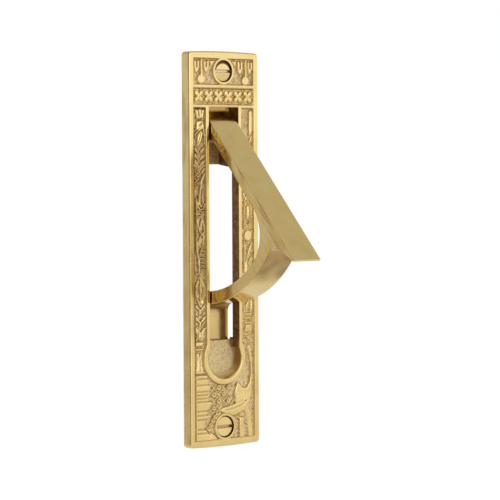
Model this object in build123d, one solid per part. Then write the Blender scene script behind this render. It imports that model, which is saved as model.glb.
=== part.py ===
from build123d import *
import os
from math import atan2, cos, hypot, radians, sin, sqrt

# Pocket door pull: a cast face plate let into the edge of a sliding door, and a lever that swings out of it.
# Origin: centre of the plate's back face. X across the plate, -Y out of its front, +Z up. Millimetres.
# The lever is built where it stands when it is open, against its stop.

# Plate
plate_height = 127.0
plate_width = 28.6
plate_thickness = 3.5
corner_radius = 1.2
edge_round = 0.6
rim_round = 0.3
end_bow = 0.35
side_border = 2.0
end_border = 2.3
panel_depth = 0.9
divider = 1.0
top_panel_height = 8.5
band_height = 5.3

# Screws, number 6 countersunk wood screws with a slotted head
screw_inset = 6.35
screw_ring_radius = 4.25
screw_well_radius = 3.55
screw_well_depth = 0.9
screw_head_radius = 3.2
screw_head_edge = 0.35
screw_head_recess = 0.55
screw_head_height = 1.9
screw_neck_radius = 1.95
screw_shank_radius = 1.75
screw_root_radius = 1.2
screw_length = 19.0
screw_plain_length = 7.0
screw_point_length = 3.0
screw_slot_width = 0.8
screw_slot_depth = 0.9
screw_hole_clearance = 0.2

# Slot
slot_rim = 1.4
slot_top_rim = 0.8
lever_side_clearance = 0.4

# Finger notch below the lever's tip, closed behind by a bowl
notch_below_tip = 12.6
notch_radius = 7.1
notch_rim = 1.5
notch_lip = 0.5
bowl_depth = 3.2
bowl_draft = 0.6
bowl_scoop = 1.0
bowl_wall = 1.8
bowl_blend = 1.3
bowl_top_height = 5.6

# Pivot and the housing that carries it
pivot_depth = 5.2
pin_radius = 1.5
pin_running_clearance = 0.05
pin_end_bevel = 0.25
cheek_thickness = 1.8
housing_wall = 1.4
housing_clearance = 0.6
housing_top_clearance = 1.2
housing_drop = 11.2
housing_slope = 1.3
housing_fillet = 1.6

# Lever
lever_length = 61.05
lever_width = 11.2
bar_thickness = 3.3
head_rise = 6.0
head_gap = 0.85
head_swing_clearance = 0.35
hub_radius = 4.7
hub_fillet = 4.0
open_angle = 43.2
arm_radius = 35.8
arm_thickness = 4.1
arm_centre_in = 15.5
lip_length = 8.35
arm_inside_curve = 13.0
lip_edge = 0.6
lip_root = 3.9
lip_fillet = 3.6
foot_thickness = 3.6
foot_overlap = 3.7
foot_heel_radius = 4.0
foot_instep_radius = 3.0
stop_gap = 0.3
lever_edge_bevel = 0.2

# Places that follow from the sizes above
half_height = plate_height / 2
half_width = plate_width / 2
screw_z = half_height - screw_inset
top_panel_top = half_height - end_border
top_panel_bottom = top_panel_top - top_panel_height
band_top = top_panel_bottom - divider
band_bottom = band_top - band_height
side_panel_top = band_bottom - divider
slot_top = band_bottom - slot_top_rim
slot_half_width = lever_width / 2 + lever_side_clearance
pivot_z = slot_top - head_gap - head_rise
tip_z = pivot_z - lever_length
notch_z = tip_z - notch_below_tip
bowl_top = notch_z + bowl_top_height
bowl_back = bowl_depth + bowl_wall
panel_half_width = half_width - side_border
rim_half_width = slot_half_width + slot_rim
notch_rim_radius = notch_radius + notch_rim
notch_wall_radius = notch_radius - rim_round
slot_meets_notch = notch_z + sqrt(notch_wall_radius ** 2 - slot_half_width ** 2)
cheek_outside = slot_half_width + cheek_thickness
hub_back = pivot_depth + hub_radius
housing_back = hub_back + housing_clearance + housing_wall
housing_top = pivot_z + hypot(head_rise, pivot_depth) + housing_top_clearance
housing_bottom = pivot_z - housing_drop
arm_centre_down = lever_length - lip_length - arm_radius - arm_thickness


def depth(value):
    """The Y of a place this far behind the plate's front face."""
    return value - plate_thickness


def front_plane(depth_behind=0.0):
    """A plane facing out of the plate's front, with its X across and its Y up the plate."""
    return Plane(origin=(0, depth(depth_behind), 0), x_dir=(1, 0, 0), z_dir=(0, -1, 0))


def block(x_half, depth_from, depth_to, z_low, z_high):
    """A box centred across the plate."""
    size = (2 * x_half, depth_to - depth_from, z_high - z_low)
    centre = (0, (depth(depth_from) + depth(depth_to)) / 2, (z_low + z_high) / 2)
    return Pos(*centre) * Box(*size)


def drum(radius, z, depth_from, depth_to, x=0.0):
    """A cylinder standing across the plate's thickness."""
    middle = (depth(depth_from) + depth(depth_to)) / 2
    return Pos(x, middle, z) * Rot(90, 0, 0) * Cylinder(radius, depth_to - depth_from)


def nearest(shape, point):
    """The corner of a flat shape that lies nearest to a point."""
    return shape.vertices().sort_by_distance(point)[0]


# Face plate

def plate_blank():
    """The slab, with slightly bowed ends, rounded corners and a soft front edge."""
    left_top = (-half_width, half_height - end_bow)
    right_top = (half_width, half_height - end_bow)
    left_low = (-half_width, -half_height + end_bow)
    right_low = (half_width, -half_height + end_bow)
    outline = Wire([
        ThreePointArc(left_top, (0, half_height), right_top).edge(),
        Line(right_top, right_low).edge(),
        ThreePointArc(right_low, (0, -half_height), left_low).edge(),
        Line(left_low, left_top).edge(),
    ])
    outline_face = make_face(outline.edges())
    outline_face = fillet(outline_face.vertices(), corner_radius)
    slab = extrude(front_plane() * outline_face, -plate_thickness)
    front = slab.faces().sort_by(Axis.Y)[0]
    return fillet(front.edges(), edge_round)


def panel(x_half, z_low, z_high):
    """A sunk field for carved ornament."""
    return block(x_half, -1.0, panel_depth, z_low, z_high)


def screw_ring(z):
    """The ring that stays at the plate's full height round a screw."""
    return drum(screw_ring_radius, z, -1.0, panel_depth)


def sunk_fields():
    """All the sunk fields, with the rims, rings and dividers left standing between them."""
    top_field = panel(panel_half_width, top_panel_bottom, top_panel_top) - screw_ring(screw_z)
    band_field = panel(panel_half_width, band_bottom, band_top)
    main_field = panel(panel_half_width, -top_panel_top, side_panel_top)
    main_field -= block(rim_half_width, -2.0, plate_thickness, notch_z, half_height)
    main_field -= drum(notch_rim_radius, notch_z, -2.0, plate_thickness)
    main_field -= screw_ring(-screw_z)
    return [top_field, band_field, main_field]


def finger_bowl():
    """The bowl that closes the finger notch behind, with walls that lean in and a scooped lower side."""
    pad = drum(notch_rim_radius, notch_z, plate_thickness - 1.0, bowl_back)
    lining = drum(notch_wall_radius + 0.5, notch_z, notch_lip, bowl_back)
    mouth = front_plane(notch_lip) * Pos(0, notch_z) * Circle(notch_wall_radius)
    floor = front_plane(bowl_depth) * Pos(0, notch_z + bowl_scoop) * Circle(notch_wall_radius - bowl_draft)
    dish = loft([mouth, floor])
    dish = fillet(dish.edges().sort_by(Axis.Y)[-1], bowl_blend)
    bowl = pad + lining
    bowl -= block(slot_half_width, -1.0, bowl_back + 1.0, bowl_top, slot_top)
    bowl -= block(slot_half_width, -1.0, bowl_depth, slot_meets_notch, slot_top)
    return bowl - dish


def head_relief():
    """Room behind the slot's top edge for the lever's square head to swing past."""
    reach = hypot(head_rise, pivot_depth) + head_swing_clearance
    swept = Pos(0, depth(pivot_depth), pivot_z) * Rot(0, 90, 0) * Cylinder(reach, 2 * slot_half_width)
    return swept & block(slot_half_width, 0.0, housing_back - housing_wall, pivot_z, half_height)


def housing():
    """Two cheeks and a back wall, open above and below, cast on the back of the plate."""
    root = plate_thickness - 1.0
    low_front = housing_bottom - housing_slope
    outline = [
        (depth(root), housing_top),
        (depth(housing_back), housing_top),
        (depth(housing_back), housing_bottom),
        (depth(plate_thickness), low_front),
        (depth(plate_thickness), low_front - 2 * housing_fillet),
        (depth(root), low_front - 2 * housing_fillet),
    ]
    section = make_face(Plane.YZ * Polyline(*outline, close=True))
    corner = nearest(section, (0, depth(plate_thickness), low_front))
    section = fillet(corner, housing_fillet)
    inner_space = block(
        slot_half_width, plate_thickness, housing_back - housing_wall, housing_bottom - 20, housing_top + 5
    )
    solid_block = extrude(section, cheek_outside, both=True)
    hollow = block(slot_half_width, root - 0.5, plate_thickness, housing_bottom - 20, housing_top + 5)
    return solid_block - inner_space - hollow


def front_rims(body):
    """The front edges of the slot, the notch and the sunk fields, as far as the screws' rings."""
    flush = body.edges().filter_by_position(Axis.Y, depth(0) - 0.01, depth(0) + 0.01)
    inner = [edge for edge in flush if abs(edge.center().X) < panel_half_width + 0.1]
    return [edge for edge in inner if abs(edge.center().Z) < top_panel_bottom - 0.1]


def make_faceplate():
    body = plate_blank()
    for field in sunk_fields():
        body -= field
    body -= block(slot_half_width, -1.0, plate_thickness + 1.0, notch_z, slot_top)
    body -= drum(notch_wall_radius, notch_z, -1.0, plate_thickness + 1.0)
    body = fillet(front_rims(body), rim_round)
    body += finger_bowl()
    body += housing()
    body -= head_relief()
    for z in (screw_z, -screw_z):
        body -= screw_seat(z)
    pin_hole = Pos(0, depth(pivot_depth), pivot_z) * Rot(0, 90, 0) * Cylinder(pin_radius, 4 * cheek_outside)
    body -= pin_hole & block(cheek_outside + 1, plate_thickness - 1, housing_back, housing_bottom, housing_top)
    return body


def screw_seat(z):
    """The well, countersink and clearance hole for one screw."""
    well = drum(screw_well_radius, z, -1.0, screw_well_depth)
    edge_depth = screw_head_recess + screw_head_edge
    cone_height = screw_head_height - screw_head_edge
    cone = Cone(screw_neck_radius, screw_head_radius, cone_height)
    cone = Pos(0, depth(edge_depth + cone_height / 2), z) * Rot(90, 0, 0) * cone
    hole = drum(screw_neck_radius + screw_hole_clearance, z, 0.0, plate_thickness + 1.0)
    return well + cone + hole


# Lever

swing = radians(open_angle)
pivot_point = Vector(0, depth(pivot_depth), pivot_z)
along_bar = Vector(0, -sin(swing), -cos(swing))
into_bar = Vector(0, cos(swing), -sin(swing))
lever_origin = pivot_point - into_bar * pivot_depth
lever_plane = Plane(origin=lever_origin, x_dir=along_bar, z_dir=(1, 0, 0))


def on_bar(depth_behind, z):
    """A place on the plate, as distances along the open bar and in from its front face."""
    offset = Vector(0, depth(depth_behind), z) - lever_origin
    return (offset.dot(along_bar), offset.dot(into_bar))


def from_arm_centre(radius, point):
    """The point on a circle about the arm's centre, in the direction of another point."""
    span = hypot(point[0] - arm_centre_down, point[1] - arm_centre_in)
    across = (point[0] - arm_centre_down) / span
    inwards = (point[1] - arm_centre_in) / span
    return (arm_centre_down + radius * across, arm_centre_in + radius * inwards)


def arm_meets_depth(radius, depth_behind):
    """Where a circle about the arm's centre, below that centre, reaches a depth behind the plate's front."""
    centre = lever_origin + along_bar * arm_centre_down + into_bar * arm_centre_in
    sideways = depth(depth_behind) - centre.Y
    return on_bar(depth_behind, centre.Z - sqrt(radius ** 2 - sideways ** 2))


def arm_arc(radius, start, end):
    """An arc about the arm's centre."""
    middle = ((start[0] + end[0]) / 2, (start[1] + end[1]) / 2)
    return ThreePointArc(start, from_arm_centre(radius, middle), end)


def lever_section():
    """The side outline of bar, lip, arm and foot, before the hub is added."""
    outer_radius = arm_radius + arm_thickness
    foot_front = bowl_back + stop_gap
    foot_back = foot_front + foot_thickness
    foot_low = bowl_top - foot_overlap

    curve_in = bar_thickness + arm_inside_curve
    curve_down = arm_centre_down + sqrt((arm_radius - arm_inside_curve) ** 2 - (curve_in - arm_centre_in) ** 2)
    curve_centre = (curve_down, curve_in)
    curve_start = (curve_down, bar_thickness)
    curve_end = from_arm_centre(arm_radius, curve_centre)
    middle_angle = (atan2(curve_end[1] - curve_in, curve_end[0] - curve_down) - radians(90)) / 2
    curve_middle = (
        curve_down + arm_inside_curve * cos(middle_angle),
        curve_in + arm_inside_curve * sin(middle_angle),
    )

    head_front = (-head_rise, 0)
    tip = (lever_length, 0)
    lip_end = (lever_length, lip_edge)
    lip_in = lip_root
    lip_down = arm_centre_down + sqrt(outer_radius ** 2 - (arm_centre_in - lip_in) ** 2)
    lip_corner = (lip_down, lip_in)
    instep = arm_meets_depth(outer_radius, foot_front)
    toe_front = on_bar(foot_front, foot_low)
    toe_back = on_bar(foot_back, foot_low)
    heel = arm_meets_depth(arm_radius, foot_back)
    head_back = (-head_rise, bar_thickness)

    edges = [
        Line(head_front, tip).edge(),
        Line(tip, lip_end).edge(),
        Line(lip_end, lip_corner).edge(),
        arm_arc(outer_radius, lip_corner, instep).edge(),
        Line(instep, toe_front).edge(),
        Line(toe_front, toe_back).edge(),
        Line(toe_back, heel).edge(),
        arm_arc(arm_radius, heel, curve_end).edge(),
        ThreePointArc(curve_end, curve_middle, curve_start).edge(),
        Line(curve_start, head_back).edge(),
        Line(head_back, head_front).edge(),
    ]
    section = make_face(Wire(edges).edges())
    section = fillet(nearest(section, lip_corner), lip_fillet)
    section = fillet(nearest(section, instep), foot_instep_radius)
    section = fillet(nearest(section, heel), foot_heel_radius)
    section = fillet(nearest(section, toe_back), foot_thickness / 3)
    section = fillet(nearest(section, toe_front), foot_thickness / 6)
    return section


def make_lever():
    section = lever_section()
    hub = Pos(0, pivot_depth) * Circle(hub_radius)
    section = section + hub
    below_hub = (sqrt(hub_radius ** 2 - (pivot_depth - bar_thickness) ** 2), bar_thickness)
    section = fillet(nearest(section, below_hub), hub_fillet)
    body = extrude(lever_plane * section, lever_width / 2, both=True)
    body = chamfer(body.edges().filter_by(Axis.X, reverse=True), lever_edge_bevel)
    bore_radius = pin_radius + pin_running_clearance
    bore = Pos(0, depth(pivot_depth), pivot_z) * Rot(0, 90, 0) * Cylinder(bore_radius, 2 * lever_width)
    return body - bore


# Pivot pin and screws

def make_pivot_pin():
    """A pin through both cheeks, filed flush with them so that the housing slides into its mortise."""
    pin = Cylinder(pin_radius, 2 * cheek_outside)
    pin = chamfer(pin.edges(), pin_end_bevel)
    return Pos(0, depth(pivot_depth), pivot_z) * Rot(0, 90, 0) * pin


def make_screw(z):
    """A slotted countersunk wood screw, its thread left as the root it is cut on."""
    top = -screw_head_recess
    edge = top - screw_head_edge
    cone_end = top - screw_head_height
    neck_end = -plate_thickness
    neck_step = screw_neck_radius - screw_shank_radius
    plain_end = top - screw_plain_length
    thread_end = top - screw_length + screw_point_length
    outline = [
        (0, top),
        (screw_head_radius, top),
        (screw_head_radius, edge),
        (screw_neck_radius, cone_end),
        (screw_neck_radius, neck_end + neck_step),
        (screw_shank_radius, neck_end),
        (screw_shank_radius, plain_end),
        (screw_root_radius, plain_end - (screw_shank_radius - screw_root_radius)),
        (screw_root_radius, thread_end),
        (0, top - screw_length),
    ]
    section = make_face(Plane.XZ * Polyline(*outline, close=True))
    screw = revolve(section, Axis.Z)
    slot_size = (3 * screw_head_radius, screw_slot_width, 2 * screw_slot_depth)
    screw = screw - Pos(0, 0, top) * Box(*slot_size)
    return Pos(0, depth(0), z) * Rot(90, 0, 0) * screw


parts = {
    "faceplate": make_faceplate(),
    "lever": make_lever(),
    "pivot_pin": make_pivot_pin(),
    "screw_upper": make_screw(screw_z),
    "screw_lower": make_screw(-screw_z),
}

os.makedirs("parts", exist_ok=True)
for name, shape in parts.items():
    shape.label = name
    export_step(shape, f"parts/{name}.step")
    box = shape.bounding_box()
    print(f"{name}: {len(shape.solids())} solid, volume {shape.volume:.1f}, size {box.size}")
print(f"pivot z {pivot_z:.2f}, closed tip z {tip_z:.2f}, notch centre z {notch_z:.2f}, slot top {slot_top:.2f}")
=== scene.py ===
# %% [markdown]
# # A cast brass pull for a pocket door
# The real thing is a heavy brass plate let into the edge of a sliding door, with a lever that swings out
# of it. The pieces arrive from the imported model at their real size, so this lesson is about the looks:
# carved fields, polished metal, a thread on each screw, and the light that makes brass look like brass.

import math

import bpy
import numpy as np
from mathutils import Matrix, Vector


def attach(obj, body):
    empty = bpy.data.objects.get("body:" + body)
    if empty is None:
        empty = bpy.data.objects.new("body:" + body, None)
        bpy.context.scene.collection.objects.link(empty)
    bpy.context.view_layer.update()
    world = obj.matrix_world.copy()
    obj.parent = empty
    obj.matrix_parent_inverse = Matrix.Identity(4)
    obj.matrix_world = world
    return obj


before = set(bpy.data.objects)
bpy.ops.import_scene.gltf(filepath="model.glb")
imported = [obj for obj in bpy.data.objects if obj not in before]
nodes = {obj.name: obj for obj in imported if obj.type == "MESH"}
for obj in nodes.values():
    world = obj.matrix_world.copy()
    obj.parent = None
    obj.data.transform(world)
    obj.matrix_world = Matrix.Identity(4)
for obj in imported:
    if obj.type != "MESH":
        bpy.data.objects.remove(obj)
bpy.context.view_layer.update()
scene = bpy.context.scene
scene.view_settings.view_transform = "Standard"
MM = 0.001


def put_in_scene(name, data):
    thing = bpy.data.objects.new(name, data)
    scene.collection.objects.link(thing)
    return thing


print("pieces from the model:", ", ".join(sorted(nodes)))

# %% [markdown]
# ## Camera
# The photograph looks at the plate from its left and a touch above, through a long lens. A camera can be
# aimed by constraint or by hand, but here its three axes are worked out from azimuth, elevation and roll,
# because that repeats exactly and needs nothing else in the scene.

# %% Camera
VIEW_AZIMUTH = math.radians(-39.663)
VIEW_ELEVATION = math.radians(2.165)
VIEW_ROLL = math.radians(-0.285)
VIEW_DISTANCE = 0.713148
VIEW_TARGET = Vector((0.010577, -0.0035, -0.00048))
SENSOR_MM = 36.0
FOCAL_IN_IMAGE_WIDTHS = 4.395672


def aim_camera():
    flat = math.cos(VIEW_ELEVATION)
    back = Vector((
        math.sin(VIEW_AZIMUTH) * flat,
        -math.cos(VIEW_AZIMUTH) * flat,
        math.sin(VIEW_ELEVATION),
    ))
    right = (-back).cross(Vector((0, 0, 1))).normalized()
    up = right.cross(-back)
    rolled_right = right * math.cos(VIEW_ROLL) + up * math.sin(VIEW_ROLL)
    rolled_up = up * math.cos(VIEW_ROLL) - right * math.sin(VIEW_ROLL)
    data = bpy.data.cameras.new("view")
    data.sensor_width = SENSOR_MM
    data.lens = SENSOR_MM * FOCAL_IN_IMAGE_WIDTHS
    data.clip_start = 0.01
    scene.camera = put_in_scene("view", data)
    axes = Matrix((rolled_right, rolled_up, back)).transposed().to_4x4()
    scene.camera.matrix_world = Matrix.Translation(VIEW_TARGET + back * VIEW_DISTANCE) @ axes
    print(f"camera: {data.lens:.0f} mm lens, {VIEW_DISTANCE * 1000:.0f} mm away")


aim_camera()

# %% [markdown]
# ## Colours and nodes
# Colours are written as the hex values seen on a screen, and one function turns them into the linear
# values that the renderer works in. A second small function adds a node, sets it and wires it. The short
# ones after it each stand for one kind of node, so that a material reads from top to bottom like a recipe.
# They take sockets, and a socket knows which tree it belongs to.

# %% Helpers for colours and nodes


def linear(hex_colour):
    channels = [int(hex_colour[i:i + 2], 16) / 255 for i in (1, 3, 5)]
    curve = [c / 12.92 if c <= 0.04045 else ((c + 0.055) / 1.055) ** 2.4 for c in channels]
    return (*curve, 1.0)


def add_node(tree, kind, settings=None, inputs=None):
    node = tree.nodes.new(kind)
    for name, value in (settings or {}).items():
        setattr(node, name, value)
    for name, value in (inputs or {}).items():
        if isinstance(value, bpy.types.NodeSocket):
            tree.links.new(value, node.inputs[name])
        else:
            node.inputs[name].default_value = value
    return node


def empty_tree(owner):
    owner.use_nodes = True
    owner.node_tree.nodes.clear()
    return owner.node_tree


def join(kind, settings, inputs, output=0):
    """Adds a node to the tree that its inputs come from, and gives its output."""
    tree = next(value.id_data for value in inputs.values() if isinstance(value, bpy.types.NodeSocket))
    return add_node(tree, kind, settings, inputs).outputs[output]


def math_node(operation, first, second=0.0, clamp=False):
    return join("ShaderNodeMath", {"operation": operation, "use_clamp": clamp}, {0: first, 1: second})


def vector_node(operation, first, second):
    output = "Value" if operation in ("DOT_PRODUCT", "DISTANCE") else "Vector"
    return join("ShaderNodeVectorMath", {"operation": operation}, {0: first, 1: second}, output)


def vector_of(x=0.0, y=0.0, z=0.0):
    return join("ShaderNodeCombineXYZ", {}, {0: x, 1: y, 2: z})


def parts_of(vector):
    return add_node(vector.id_data, "ShaderNodeSeparateXYZ", inputs={0: vector}).outputs


def map_range(value, low, high, to_low=0.0, to_high=1.0, smooth=False):
    """Spreads low..high over to_low..to_high, and holds the value beyond both ends."""
    return join("ShaderNodeMapRange", {"interpolation_type": "SMOOTHSTEP" if smooth else "LINEAR"}, {
        "Value": value, "From Min": low, "From Max": high, "To Min": to_low, "To Max": to_high,
    })


def noise(place, scale, detail, roughness=0.5):
    return join("ShaderNodeTexNoise", {}, {
        "Vector": place, "Scale": scale, "Detail": detail, "Roughness": roughness,
    })


def mix(mask, first, second, blend="MIX"):
    return join("ShaderNodeMixRGB", {"blend_type": blend}, {0: mask, 1: first, 2: second})


def colour_ramp(value, stops):
    node = add_node(value.id_data, "ShaderNodeValToRGB", inputs={0: value})
    elements = node.color_ramp.elements
    while len(elements) > 1:
        elements.remove(elements[-1])
    elements[0].position, elements[0].color = stops[0]
    for position, colour in stops[1:]:
        elements.new(position).color = colour
    return node.outputs[0]


print("helpers ready")

# %% [markdown]
# ## Light
# Polished metal has no look of its own: it shows the room. A lamp would burn a white patch into it, so the
# room itself gives the light. It is a white tent, brightest in front and to the right, where the plate's
# face looks, greyer overhead, where the lever's face looks, dimmer behind, and darkest where the camera
# stands, which is what draws the dark lines in the carving. A brighter window straight in front puts the
# small highlights on the rounded edges. The camera sees plain white.

# %% World
ROOM_FROM_FLOOR_TO_CEILING = [
    (0.00, (1.00, 0.97, 0.92, 1)),
    (0.38, (0.86, 0.79, 0.68, 1)),
    (0.45, (0.71, 0.65, 0.53, 1)),
    (0.52, (1.02, 1.00, 0.96, 1)),
    (0.60, (1.00, 0.98, 0.94, 1)),
    (0.72, (0.80, 0.76, 0.66, 1)),
    (0.85, (0.47, 0.44, 0.36, 1)),
    (1.00, (0.64, 0.60, 0.52, 1)),
]
WARM = (1.0, 0.92, 0.82, 1)
WHITE = (1, 1, 1, 1)
TO_FRONT_RIGHT = (0.72, -0.69, 0.05)
TO_CAMERA = (-0.72, -0.69, 0.0)
TO_WINDOW = (0.10, -0.99, 0.08)


def make_world():
    world = bpy.data.worlds.new("white_tent")
    tree = empty_tree(world)
    place = add_node(tree, "ShaderNodeTexCoord").outputs["Generated"]
    height = map_range(parts_of(place)["Z"], -1.0, 1.0)
    room = colour_ramp(height, ROOM_FROM_FLOOR_TO_CEILING)
    side, dimmed, glare = [
        map_range(vector_node("DOT_PRODUCT", place, direction), *levels, smooth=True)
        for direction, levels in (
            (TO_FRONT_RIGHT, (-0.9, 0.7, 0.65, 1.06)),
            (TO_CAMERA, (0.45, 0.97, 1.0, 0.42)),
            (TO_WINDOW, (0.90, 0.99, 1.0, 2.0)),
        )
    ]
    level = math_node("MULTIPLY", side, dimmed)
    colour = mix(level, mix(1.0, room, WARM, "MULTIPLY"), room)
    lit = join("ShaderNodeBackground", {}, {
        "Color": colour, "Strength": math_node("MULTIPLY", level, glare),
    })
    seen = add_node(tree, "ShaderNodeBackground", inputs={"Color": WHITE, "Strength": 1.0})
    path = add_node(tree, "ShaderNodeLightPath")
    mixed = join("ShaderNodeMixShader", {}, {
        0: path.outputs["Is Camera Ray"], 1: lit, 2: seen.outputs[0],
    })
    add_node(tree, "ShaderNodeOutputWorld", inputs={"Surface": mixed})
    scene.world = world


make_world()
print("white tent ready")

# %% [markdown]
# ## Floor
# The pull hangs in a door when it is in use, so nothing stands under it. A pale floor lies well below,
# where it sends light back up into the metal and takes the soft shadow.

# %% Floor
FLOOR_DROP = 0.6
FLOOR_SIZE = 6.0
GLOW_FOR_CAMERA = 0.7
GLOW_FOR_METAL = 0.22


def make_floor():
    half = FLOOR_SIZE / 2
    mesh = bpy.data.meshes.new("floor")
    corners = [(x * half, y * half, -FLOOR_DROP) for x, y in ((-1, -1), (1, -1), (1, 1), (-1, 1))]
    mesh.from_pydata(corners, [], [(0, 1, 2, 3)])
    floor = put_in_scene("floor", mesh)
    paint = bpy.data.materials.new("pale_studio_floor")
    tree = empty_tree(paint)
    matte = add_node(tree, "ShaderNodeBsdfDiffuse", inputs={"Color": linear("#F7F6F4")})
    path = add_node(tree, "ShaderNodeLightPath")
    lift = join("ShaderNodeMath", {"operation": "MULTIPLY_ADD"}, {
        0: path.outputs["Is Camera Ray"], 1: GLOW_FOR_CAMERA, 2: GLOW_FOR_METAL,
    })
    glow = join("ShaderNodeEmission", {}, {"Color": WHITE, "Strength": lift})
    both = join("ShaderNodeAddShader", {}, {0: matte.outputs[0], 1: glow})
    add_node(tree, "ShaderNodeOutputMaterial", inputs={"Surface": both})
    mesh.materials.append(paint)


make_floor()
print("floor", FLOOR_DROP, "m below")

# %% [markdown]
# ## Brass
# Brass is copper and zinc. Where it has been polished it is a mirror with a warm yellow tint, and where the
# sand mould left it alone it is a dull, grainy gold. Both are one metal with a different roughness and
# bump. The recipe below takes a mask of where the sand skin was left, so one material can hold both, and a
# second mask that darkens the colour, for painted shade and for tarnish. Further coats of colour can
# follow.
# A bevel in the shader rounds sharp edges a little, as the wheel does.

# %% The brass recipe
POLISHED_GOLDS = [(0.30, linear("#EDD193")), (0.50, linear("#F3DB9C")), (0.72, linear("#F5DFA5"))]
SAND_SKIN = (linear("#B99658"), linear("#FBE6BA"))
PAINTED_SHADE_BROWN = linear("#7A5226")
SAND_ROUGHNESS = 0.36
DARKENED_ROUGHNESS = 0.42
SOFT_EDGE_MM, BOWL_LIP_EDGE_MM = 0.28, 1.1
CLOUD_MM, WAVE_MM, RIPPLE_MM = 7, 15, 4.5
WAVE_DEPTH_MM, RIPPLE_DEPTH_MM, GRAIN_DEPTH_MM = 0.3, 0.03, 0.45


def brass_tree(name):
    material = bpy.data.materials.new(name)
    return material, add_node(empty_tree(material), "ShaderNodeTexCoord").outputs["Object"]


def bump(height, distance_mm, strength, normal):
    return join("ShaderNodeBump", {}, {
        "Height": height, "Distance": distance_mm * MM, "Strength": strength, "Normal": normal,
    })


def blend(mask, first, second):
    """Like mix, but for plain values."""
    return join("ShaderNodeMix", {}, {0: mask, 2: first, 3: second})


def finish_brass(place, sandy=None, dark=None, roughness=0.17, grain_mm=0.8, sand=SAND_SKIN,
                 dark_coat=PAINTED_SHADE_BROWN, edge=SOFT_EDGE_MM * MM, metallic=1.0, coats=()):
    """Colour, roughness and bump of brass. sandy and dark are masks; dark lays painted shade and tarnish.
    Each coat is a mask and a colour.
    """
    tree = place.id_data
    cloud = noise(place, 1 / (CLOUD_MM * MM), 3.0, 0.6)
    wave = noise(place, 1 / (WAVE_MM * MM), 0.0)
    ripple = noise(place, 1 / (RIPPLE_MM * MM), 1.0)
    colour = colour_ramp(cloud, POLISHED_GOLDS)
    shine = map_range(cloud, 0.3, 0.7, roughness - 0.03, roughness + 0.04)
    normal = add_node(tree, "ShaderNodeBevel", {"samples": 6}, {"Radius": edge}).outputs[0]
    normal = bump(wave, WAVE_DEPTH_MM, 1.0, normal)
    normal = bump(ripple, RIPPLE_DEPTH_MM, 0.7, normal)
    if sandy is not None:
        grain = noise(place, 1 / (grain_mm * MM), 4.0, 0.7)
        colour = mix(sandy, colour, colour_ramp(grain, [(0.34, sand[0]), (0.54, sand[1])]))
        shine = blend(sandy, shine, SAND_ROUGHNESS)
        normal = bump(grain, GRAIN_DEPTH_MM, sandy, normal)
    # The dark mask lays a darker colour: painted shade, and in the carving also tarnish.
    if dark is not None:
        shine = blend(dark, shine, DARKENED_ROUGHNESS)
        coats = ((dark, dark_coat), *coats)
    for mask, coat in coats:
        colour = mix(mask, colour, coat)
    shader = add_node(tree, "ShaderNodeBsdfPrincipled", inputs={
        "Base Color": colour, "Metallic": metallic, "Roughness": shine, "Normal": normal,
    })
    add_node(tree, "ShaderNodeOutputMaterial", inputs={"Surface": shader.outputs[0]})


print("brass recipe ready")

# %% [markdown]
# Masks say where something holds, from 0 to 1. A zone multiplies ramps, each a value with the place where
# it is 0 and the place where it is 1. Masks are then multiplied, or the greatest is taken.

# %% Masks


def times(*masks):
    result = masks[0]
    for mask in masks[1:]:
        result = math_node("MULTIPLY", result, mask, clamp=True)
    return result


def most(*masks):
    result = masks[0]
    for mask in masks[1:]:
        result = math_node("MAXIMUM", result, mask, clamp=True)
    return result


def zone(*ramps):
    """The product of ramps, each a value, its start and its end. Start and end are in millimetres."""
    return times(*[
        map_range(value, start * MM, end * MM, smooth=True) for value, start, end in ramps
    ])


print("masks ready")

# %% [markdown]
# ## The plate's finish
# The plate's face was polished on a wheel. The wheel never touched the floor of the finger bowl, the walls
# of the slot or the back, so those keep the sand skin. The slot, the screws' wells and the right wall of
# the bowl get painted shade, lines along the left border get painted shade, and streaks on the left side
# face are painted reflection. Masks worked out from a point's own place say which is which.

# %% Faceplate material
FRONT_MM = -3.5
NOTCH_Z = -34.9
SCREW_Z = 57.15
SLOT_HALF_WIDTH = 6.0
SLOT_TOP = 46.0
SLOT_FOOT = -29.6
BOWL_SAND = (linear("#E4B76F"), linear("#FFF0C2"))
BORDER_STREAK_STRETCH = (900.0, 300.0, 90.0)


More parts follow.
